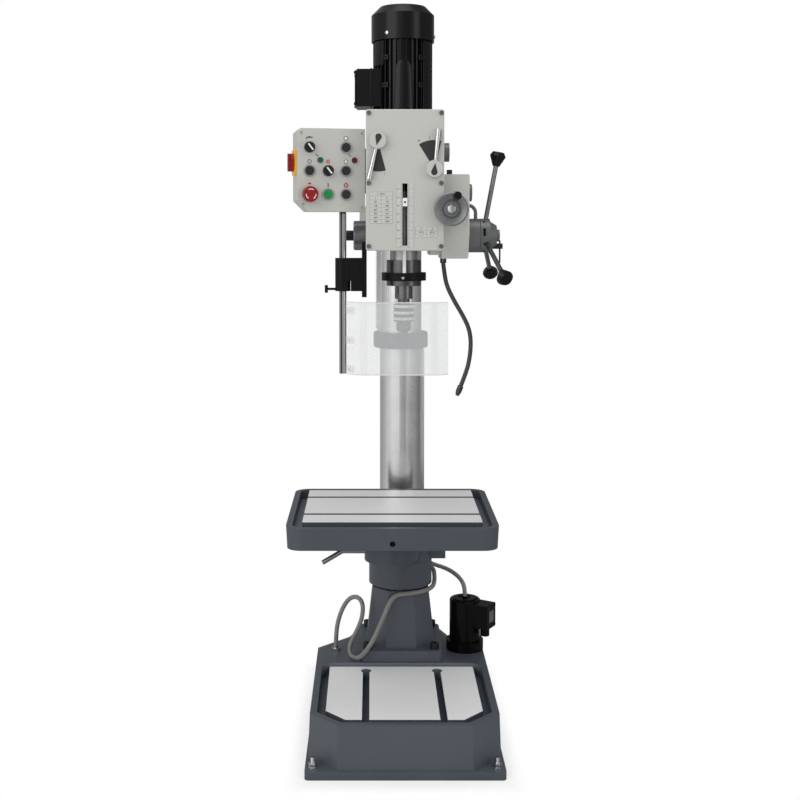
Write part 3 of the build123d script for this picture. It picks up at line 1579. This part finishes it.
# Fine feed handwheel: dished disc with a crank knob
wheel_rear = cover_front - handwheel_clear
wheel_front = wheel_rear - handwheel_t
knob_x = worm_x + crank_r * cos(radians(crank_angle))
knob_z = worm_z + crank_r * sin(radians(crank_angle))
with BuildPart() as handwheel:
    with BuildSketch(Plane.YZ.offset(worm_x)):
        with BuildLine():
            Polyline(
                (wheel_rear, worm_z),
                (wheel_rear, worm_z + handwheel_hub_r),
                (wheel_rear - handwheel_lip, worm_z + handwheel_r - handwheel_lip),
                (wheel_rear - 2 * handwheel_lip, worm_z + handwheel_r),
                (wheel_front + handwheel_lip, worm_z + handwheel_r),
                (wheel_front, worm_z + handwheel_r - handwheel_lip),
                (wheel_front + handwheel_dish, worm_z + handwheel_r - 2 * handwheel_dish),
                (wheel_front + handwheel_dish, worm_z + worm_boss_r),
                (wheel_front, worm_z + worm_boss_r - 2),
                (wheel_front, worm_z),
                close=True,
            )
        make_face()
    revolve(axis=Axis((worm_x, 0, worm_z), (0, 1, 0)))
    with BuildSketch(Plane.XZ.offset(-wheel_rear)):
        with Locations((worm_x, worm_z)):
            Circle(worm_shaft_r + fit)
    extrude(amount=handwheel_seat, mode=Mode.SUBTRACT)
    with BuildSketch(Plane.XZ.offset(-wheel_front - handwheel_dish)):
        with Locations((knob_x, knob_z)):
            Circle(crank_knob_r)
    extrude(amount=handwheel_dish + crank_knob_l, taper=3)
save(handwheel, "handwheel")

# Worm wheel, loose on the feed shaft
with BuildPart() as worm_wheel:
    with BuildSketch(feed_plane.offset(worm_x - wheel_w / 2)):
        with BuildLine():
            in_mesh = 90 + 180 / wheel_teeth
            Polyline(*gear_points(worm_module, wheel_teeth, in_mesh, (0, 0)), close=True)
        make_face()
        Circle(feed_r + fit, mode=Mode.SUBTRACT)
    extrude(amount=wheel_w)
    with BuildSketch(feed_plane.offset(worm_x + wheel_w / 2)):
        Circle(wheel_boss_r)
        Circle(feed_r + fit, mode=Mode.SUBTRACT)
    extrude(amount=wheel_boss_l)
save(worm_wheel, "worm_wheel")

# Fixed drum beside the feed box, with a seat for the conduit
with BuildPart() as hub_drum:
    with BuildSketch(feed_plane.offset(box_right)):
        Circle(drum_r)
    extrude(amount=drum_end - box_right)
    chamfer(hub_drum.faces().sort_by(Axis.X)[-1].edges(), 1)
    with BuildSketch(feed_plane.offset(box_right)):
        Circle(feed_r + fit)
    extrude(amount=drum_end - box_right, mode=Mode.SUBTRACT)
    with Locations((conduit_x, feed_y, feed_z + drum_r)):
        Hole(conduit_r + fit, depth=conduit_seat)
save(hub_drum, "hub_drum")

# Capstan: hub with nut, dial lock bar and tommy rod, three rods, three knobs
arm_span = Vector(arm_tip_x - arm_root_x, 0, arm_tip_radius - arm_root_r)
arm_length = arm_span.length
arm_lean = degrees(atan2(arm_span.X, arm_span.Z))
arm_turns = [90 + 360 * n / arm_count for n in range(arm_count)]


def arm_plane(turn, along):
    """Plane across a capstan rod at a distance from its inner end."""
    outward = Vector(0, cos(radians(turn)), sin(radians(turn)))
    way = Vector(sin(radians(arm_lean)), 0, 0) + outward * cos(radians(arm_lean))
    root = Vector(arm_root_x, feed_y, feed_z) + outward * arm_root_r
    return Plane(origin=root + way * along, z_dir=way)


with BuildPart() as capstan_hub:
    with BuildSketch(Plane.XZ.offset(-feed_y)):
        with BuildLine():
            Polyline(
                (drum_end + gap, feed_z),
                (drum_end + gap, feed_z + drum_r),
                (hub_shoulder, feed_z + drum_r),
                (hub_shoulder, feed_z + hub_cone_r),
                (hub_end, feed_z + hub_face_r),
                (hub_end, feed_z + hub_nut_r),
                (hub_nut_end, feed_z + hub_nut_r),
                (hub_nut_end, feed_z),
                close=True,
            )
        make_face()
    revolve(axis=feed_axis)
    with BuildSketch(Plane.YZ.offset(hub_shoulder - dial_bar_r)):
        with Locations((feed_y, dial_bar_z)):
            Circle(dial_bar_r)
    extrude(amount=dial_bar_end - hub_shoulder + dial_bar_r)
    with BuildSketch(Plane.XY.offset(dial_rod_low)):
        with Locations((dial_bar_end - dial_bar_r, feed_y)):
            Circle(dial_rod_r)
    extrude(amount=dial_rod_high - dial_rod_low)
    with BuildSketch(feed_plane.offset(drum_end)):
        Circle(feed_r + fit)
    extrude(amount=hub_end + gap - drum_end, mode=Mode.SUBTRACT)
    for turn in arm_turns:
        with BuildSketch(arm_plane(turn, 0)):
            Circle(arm_rod_r + fit)
        extrude(amount=arm_length / 2, mode=Mode.SUBTRACT)
save(capstan_hub, "capstan_hub")

with BuildPart() as capstan_arms:
    for turn in arm_turns:
        with BuildSketch(arm_plane(turn, 0)):
            Circle(arm_rod_r)
        extrude(amount=arm_length)
save(capstan_arms, "capstan_arms")

with BuildPart() as capstan_knobs:
    for turn in arm_turns:
        for along, radius in ((-knob_grip, knob_neck_r), (knob_l - 2 * knob_grip, knob_r)):
            with BuildSketch(arm_plane(turn, arm_length + along)):
                Circle(radius)
        loft()
        with BuildSketch(arm_plane(turn, arm_length + knob_l - 2 * knob_grip)):
            Circle(knob_r)
        extrude(amount=knob_grip, taper=30)
        with BuildSketch(arm_plane(turn, arm_length - knob_grip)):
            Circle(arm_rod_r + fit)
        extrude(amount=knob_grip, mode=Mode.SUBTRACT)
save(capstan_knobs, "capstan_knobs")

# Feed selector knob on the feed box
with BuildPart() as feed_selector:
    with BuildSketch(Plane.YZ.offset(box_right + gap)):
        with Locations((selector_y, selector_z)):
            Circle(selector_r)
    extrude(amount=selector_t)
    chamfer(feed_selector.faces().sort_by(Axis.X)[-1].edges(), 2)
    with BuildSketch(Plane.YZ.offset(box_right + gap)):
        with Locations((selector_y, selector_z)):
            Circle(selector_shaft_r)
    extrude(amount=-box_wall - gap)
save(feed_selector, "feed_selector")

# Head fittings: cover screws, side cap, oil plug, conduit, clamp bolts and hose elbow
with BuildPart() as head_fittings:
    for height in cover_screw_zs:
        for side in (-1, 1):
            with BuildSketch(Plane.XZ.offset(-cover_front)):
                with Locations((side * cover_screw_x, height)):
                    Circle(screw_head_r)
            extrude(amount=screw_head_h)
            with BuildSketch(Plane.XZ.offset(-cover_front)):
                with Locations((side * cover_screw_x, height)):
                    Circle(cover_screw_r - fit)
            extrude(amount=-cover_t - cover_screw_l + 2)
    with BuildSketch(Plane.YZ.offset(case_half)):
        with Locations((cap_y, cap_z)):
            Circle(cap_r)
    extrude(amount=cap_t)
    with BuildSketch(Plane.XY.offset(box_high)):
        with Locations((plug_x, plug_y)):
            RegularPolygon(plug_r, 6)
    extrude(amount=plug_h)
    for height in clamp_bolt_zs:
        with BuildSketch(Plane.YZ.offset(-ear_half - clamp_head_h)):
            with Locations((clamp_bolt_y, height)):
                Circle(clamp_bolt_r)
        extrude(amount=2 * ear_half + 2 * clamp_head_h)
        for face, way in ((-ear_half, -1), (ear_half, 1)):
            with BuildSketch(Plane.YZ.offset(face)):
                with Locations((clamp_bolt_y, height)):
                    RegularPolygon(clamp_head_r, 6)
            extrude(amount=way * clamp_head_h)
    with BuildLine() as elbow_line:
        FilletPolyline(
            (elbow_x, elbow_seat, elbow_z),
            (elbow_x, elbow_y, elbow_z),
            (elbow_x, elbow_y, elbow_z - elbow_l),
            radius=elbow_bend,
        )
    with BuildSketch(Plane(origin=elbow_line.line @ 0, z_dir=elbow_line.line % 0)):
        Circle(spigot_r)
    sweep(path=elbow_line.line)
    with BuildLine() as conduit_line:
        FilletPolyline(
            (box_right, feed_y, conduit_z),
            (conduit_x, feed_y, conduit_z),
            (conduit_x, feed_y, feed_z + drum_r - conduit_seat),
            radius=conduit_bend,
        )
    with BuildSketch(Plane(origin=conduit_line.line @ 0, z_dir=conduit_line.line % 0)):
        Circle(conduit_r)
    sweep(path=conduit_line.line)
save(head_fittings, "head_fittings")

# Control box behind the panel, with a neck to the head's left wall
panel_outline = [
    (panel_w / 2, panel_h / 2),
    (-panel_w / 2 + panel_top_cut, panel_h / 2),
    (-panel_w / 2, panel_h / 2 - panel_top_cut),
    (-panel_w / 2, -panel_h / 2 + panel_low_cut),
    (-panel_w / 2 + panel_low_cut, -panel_h / 2),
    (panel_w / 2, -panel_h / 2),
]
isolator_centre = (
    panel_centre
    - panel_right * (panel_w / 2)
    - panel_out * (panel_t + isolator_back)
    + Vector(0, 0, isolator_z - panel_z)
)
isolator = Plane(origin=isolator_centre, x_dir=panel_out, z_dir=-panel_right)
with BuildPart() as control_box:
    with BuildSketch(panel.offset(-panel_t)):
        with BuildLine():
            Polyline(*panel_outline, close=True)
        make_face()
    extrude(amount=-box_depth)
    with BuildSketch(panel.offset(-panel_t)):
        with BuildLine():
            Polyline(*panel_outline, close=True)
        make_face()
        offset(amount=-box_skin, kind=Kind.INTERSECTION, mode=Mode.REPLACE)
    extrude(amount=box_skin - box_depth, mode=Mode.SUBTRACT)
    with BuildSketch(panel.offset(-panel_t - neck_front)):
        with Locations((panel_w / 2 - box_skin + neck_l / 2, 0)):
            Rectangle(neck_l, neck_h)
    extrude(amount=neck_front - neck_back)
    with Locations((-case_half + panel_w, panel_y, panel_z)):
        Box(2 * panel_w, 2 * panel_w, 2 * panel_h, mode=Mode.SUBTRACT)
    with BuildSketch(isolator):
        Circle(isolator_shaft_r + fit)
    extrude(amount=-box_skin, mode=Mode.SUBTRACT)
save(control_box, "control_box")

# Panel with bezels and two lamps; the switch places are named by column and row
left_column, middle_column, right_column = button_columns
top_row, middle_row, low_row = button_rows
button_places = [
    (right_column, top_row),
    (left_column, middle_row),
    (right_column, middle_row),
    (middle_column, low_row),
    (right_column, low_row),
    (left_column, low_row),
]
selector_places = [(left_column, top_row), (middle_column, middle_row)]
with BuildPart() as control_panel:
    with BuildSketch(panel):
        with BuildLine():
            Polyline(*panel_outline, close=True)
        make_face()
    extrude(amount=-panel_t)
    with BuildSketch(panel):
        with Locations(*button_places, *selector_places):
            Circle(bezel_r)
    extrude(amount=bezel_t)
    with BuildSketch(panel.offset(-panel_t)):
        with Locations(*button_places):
            Circle(button_r + gap)
        with Locations(*selector_places):
            Circle(switch_shaft_r + fit)
        with Locations(*lamp_places):
            Circle(lamp_r + fit)
    extrude(amount=panel_t + bezel_t, mode=Mode.SUBTRACT)
    with BuildSketch(panel.offset(-panel_t)):
        with Locations(*lamp_places):
            Circle(lamp_r)
    extrude(amount=panel_t + lamp_proud)
save(control_panel, "control_panel")


def push_button(place):
    """Push button in its bezel with a collar that keeps it behind the panel."""
    with BuildPart() as button:
        with BuildSketch(panel.offset(-panel_t - button_behind)):
            with Locations(place):
                Circle(button_r)
        extrude(amount=panel_t + button_behind + button_proud)
        with BuildSketch(panel.offset(-panel_t - gap)):
            with Locations(place):
                Circle(button_collar_r)
        extrude(amount=-button_collar_t)
    return button


button_names = ["top_right", "mid_left", "mid_right", "start", "low_right"]
for button_name, button_place in zip(button_names, button_places):
    save(push_button(button_place), f"button_{button_name}")

with BuildPart() as estop_button:
    with BuildSketch(panel.offset(-panel_t - button_behind)):
        with Locations(button_places[-1]):
            Circle(button_r)
    extrude(amount=panel_t + button_behind + estop_proud - estop_cap)
    with BuildSketch(panel.offset(estop_proud - estop_cap)):
        with Locations(button_places[-1]):
            Circle(estop_r)
    extrude(amount=estop_cap, taper=8)
    with BuildSketch(panel.offset(-panel_t - gap)):
        with Locations(button_places[-1]):
            Circle(button_collar_r)
    extrude(amount=-button_collar_t)
save(estop_button, "estop_button")


def selector_switch(place):
    """Rotary selector: disc with a raised grip and a shaft through the panel."""
    with BuildPart() as selector:
        with BuildSketch(panel.offset(bezel_t + gap)):
            with Locations(place):
                Circle(selector_knob_r)
        extrude(amount=selector_knob_t)
        with BuildSketch(panel.offset(bezel_t + gap)):
            with Locations(Location(place, selector_rest)):
                Rectangle(selector_grip_w, 2 * selector_knob_r - 2)
        extrude(amount=selector_knob_t + selector_grip_h)
        with BuildSketch(panel.offset(bezel_t + gap)):
            with Locations(place):
                Circle(switch_shaft_r)
        extrude(amount=-bezel_t - gap - panel_t - button_behind)
        with BuildSketch(panel.offset(-panel_t - gap)):
            with Locations(place):
                Circle(button_collar_r)
        extrude(amount=-button_collar_t)
    return selector


save(selector_switch(selector_places[0]), "selector_upper")
save(selector_switch(selector_places[1]), "selector_lower")

# Main isolator on the box's left wall
with BuildPart() as isolator_plate:
    with BuildSketch(isolator):
        RectangleRounded(isolator_w, isolator_h, 5)
        Circle(isolator_shaft_r + fit, mode=Mode.SUBTRACT)
    extrude(amount=isolator_t)
save(isolator_plate, "isolator_plate")

with BuildPart() as isolator_handle:
    with BuildSketch(isolator.offset(isolator_t + gap)):
        Circle(isolator_hub_r)
    extrude(amount=isolator_hub_t)
    with BuildSketch(isolator.offset(isolator_t + gap)):
        RectangleRounded(isolator_grip_w, isolator_grip_l, 5)
    extrude(amount=isolator_hub_t + isolator_grip_h)
    with BuildSketch(isolator.offset(isolator_t + gap)):
        Circle(isolator_shaft_r)
    extrude(amount=-isolator_t - gap - box_skin)
save(isolator_handle, "isolator_handle")

# Chuck guard: bracket on the head's left wall, clamp ring, sliding post with lugs, clear shield
guard_bar_x = -case_half - guard_bar_t
guard_web_x = post_x + guard_ring_r + guard_web_gap
with BuildPart() as guard_bracket:
    with BuildSketch(Plane.XY.offset(guard_ring_high + gap)):
        with Locations((post_x, post_y)):
            Circle(guard_ring_r)
        with Locations(((post_x + guard_bar_x) / 2, post_y)):
            Rectangle(guard_bar_x - post_x, 2 * guard_block_half)
    extrude(amount=guard_block_high - guard_ring_high - gap)
    with BuildSketch(Plane.XY.offset(guard_ring_low)):
        with Locations(((guard_web_x + guard_bar_x) / 2, post_y)):
            Rectangle(guard_bar_x - guard_web_x, 2 * guard_block_half)
    extrude(amount=guard_ring_high + gap - guard_ring_low)
    with BuildSketch(Plane.XY.offset(guard_bar_low)):
        with Locations((guard_bar_x + guard_bar_t / 2, post_y)):
            Rectangle(guard_bar_t, 2 * guard_block_half)
    extrude(amount=guard_bar_high - guard_bar_low)
    with Locations((post_x, post_y, guard_block_high)):
        Hole(post_r + fit, depth=guard_block_high - guard_ring_high)
save(guard_bracket, "guard_bracket")

with BuildPart() as guard_ring:
    with BuildSketch(Plane.XY.offset(guard_ring_low)):
        with Locations((post_x, post_y)):
            Circle(guard_ring_r)
    extrude(amount=guard_ring_high - guard_ring_low)
    with BuildSketch(Plane.YZ.offset(post_x - guard_ring_r - thumb_l)):
        with Locations((post_y, thumb_z)):
            Circle(thumb_r)
    extrude(amount=guard_ring_r + thumb_l)
    with BuildSketch(Plane.XY.offset(thumb_z - thumb_head_l / 2)):
        with Locations((post_x - guard_ring_r - thumb_l, post_y)):
            Circle(thumb_head_r)
    extrude(amount=thumb_head_l)
    with Locations((post_x, post_y, guard_ring_high)):
        Hole(post_r + fit, depth=guard_ring_high - guard_ring_low)
save(guard_ring, "guard_ring")

shield_way = (Vector(*shield_bend_a) - Vector(*shield_start)).normalized()
shield_side = Vector(-shield_way.Y, shield_way.X)
post_offset = Vector(post_x, post_y) - Vector(*shield_start)
lug_l = lug_lap - post_offset.dot(shield_way)
lug_turn = degrees(atan2(shield_way.Y, shield_way.X))
with BuildPart() as guard_post:
    with BuildSketch(Plane.XY.offset(post_low)):
        with Locations((post_x, post_y)):
            Circle(post_r)
    extrude(amount=post_high - post_low)
    lug_start = Vector(*shield_start) + shield_way * post_offset.dot(shield_way)
    lug_middle = lug_start + shield_way * (lug_l / 2) + shield_side * (shield_t / 2 + lug_t / 2)
    for height in lug_zs:
        with BuildSketch(Plane.XY.offset(height - lug_h / 2)):
            with Locations(Location((lug_middle.X, lug_middle.Y), lug_turn)):
                Rectangle(lug_l, lug_t)
        extrude(amount=lug_h)
save(guard_post, "guard_post")

with BuildPart() as guard_shield:
    with BuildSketch(Plane.XY.offset(shield_low)):
        with BuildLine():
            FilletPolyline(
                shield_start, shield_bend_a, shield_bend_b, shield_end, radius=shield_bend_r
            )
        trace(line_width=shield_t)
    extrude(amount=shield_high - shield_low)
save(guard_shield, "guard_shield")


def swept_cord(points, radius):
    """Round cord along a route, with its bend radii printed for review."""
    with BuildPart() as cord:
        with BuildLine() as route:
            cord_path(points)
        line = route.wire()
        with BuildSketch(Plane(origin=line @ 0, z_dir=line % 0)):
            Circle(radius)
        sweep(path=line)
    section_length = cord.part.volume / (pi * radius**2)
    print("bend radii", [round(value) for value in cord_radii(points)])
    print(f"length {line.length:.1f}, volume over section {section_length:.1f}")
    return cord


# Coolant gooseneck with its nut and nozzle
goose_route = [
    (goose_x, goose_y, box_low - goose_nut_h),
    (goose_x + 3, goose_y, 1200),
    (goose_x + 9, goose_y - 1, 1168),
    (goose_x + 29, goose_y - 2, 1128),
    (goose_x + 52, goose_y - 3, 1090),
    (goose_x + 67, goose_y - 4, 1057),
    (goose_x + 71, goose_y - 5, 1020),
    (goose_x + 66, goose_y - 6, 975),
    (goose_x + 56, goose_y - 6, 942),
    (goose_x + 45, goose_y - 6, 914),
]
goose_neck = swept_cord(goose_route, goose_r)
nozzle_start = Vector(goose_route[-1])
nozzle_way = (nozzle_start - Vector(goose_route[-2])).normalized()
with BuildPart() as coolant_nozzle:
    add(goose_neck.part)
    with BuildSketch(Plane.XY.offset(box_low)):
        with Locations((goose_x, goose_y)):
            RegularPolygon(goose_nut_r, 6)
    extrude(amount=-goose_nut_h)
    for along, radius in ((0, goose_r), (nozzle_l, nozzle_r)):
        with BuildSketch(Plane(origin=nozzle_start + nozzle_way * along, z_dir=nozzle_way)):
            Circle(radius)
    loft()
save(coolant_nozzle, "coolant_nozzle")

# Drain hose from the lift collar down to the tank
drain_route = [
    (drain_x, drain_y, base_h + drain_h),
    (drain_x, drain_y, 166),
    (-177, -12, 206),
    (-163, -8, 246),
    (-145, -12, 274),
    (-126, -22, 284),
    (-110, -35, 278),
    (-104, -46, 258),
    (-109, -54, 226),
    (-124, -57, 193),
    (-140, -60, 164),
    (-142.5, -71, 147.5),
    (-137.5, -87, 137.4),
    (-122, -110, 138.5),
    (-106, -126, 152),
    (-83, -128, 184),
    (-66, -117, 214),
    (-50, -107, 249),
    (-38, -101, 276),
    (-27, -95, 298),
    (-12, -92.5, 310),
    (12, -92.5, 312.5),
    (38, -85, 313),
    (62, -70, 313),
    (81, -48, 313.5),
    (93, -20, 315),
    (98, 18, 323),
    tuple(spigot_mouth - spigot_way * drain_last_run),
    tuple(spigot_mouth),
]
drain_hose = swept_cord(drain_route, hose_r)
save(drain_hose, "drain_hose")

# Pump hose from the pump up behind the column to the head's elbow
pump_route = [
    (pump_x, pump_y, base_h + pump_h + 6),
    (pump_x, pump_y, 298),
    (175, 10, 318),
    (158, 34, 331),
    (133, 70, 337),
    (100, 108, 337),
    (60, 140, 346),
    (27, 154, 385),
    (10, 160, 450),
    (6, 162, 535),
    (-6, 160, 668),
    (8, 158, 835),
    (-8, 160, 1005),
    (8, 158, 1150),
    (34, 140, 1232),
    (elbow_x, elbow_y, elbow_z - elbow_l - 34),
    (elbow_x, elbow_y, elbow_z - elbow_l),
]
pump_hose = swept_cord(pump_route, goose_r)
save(pump_hose, "pump_hose")
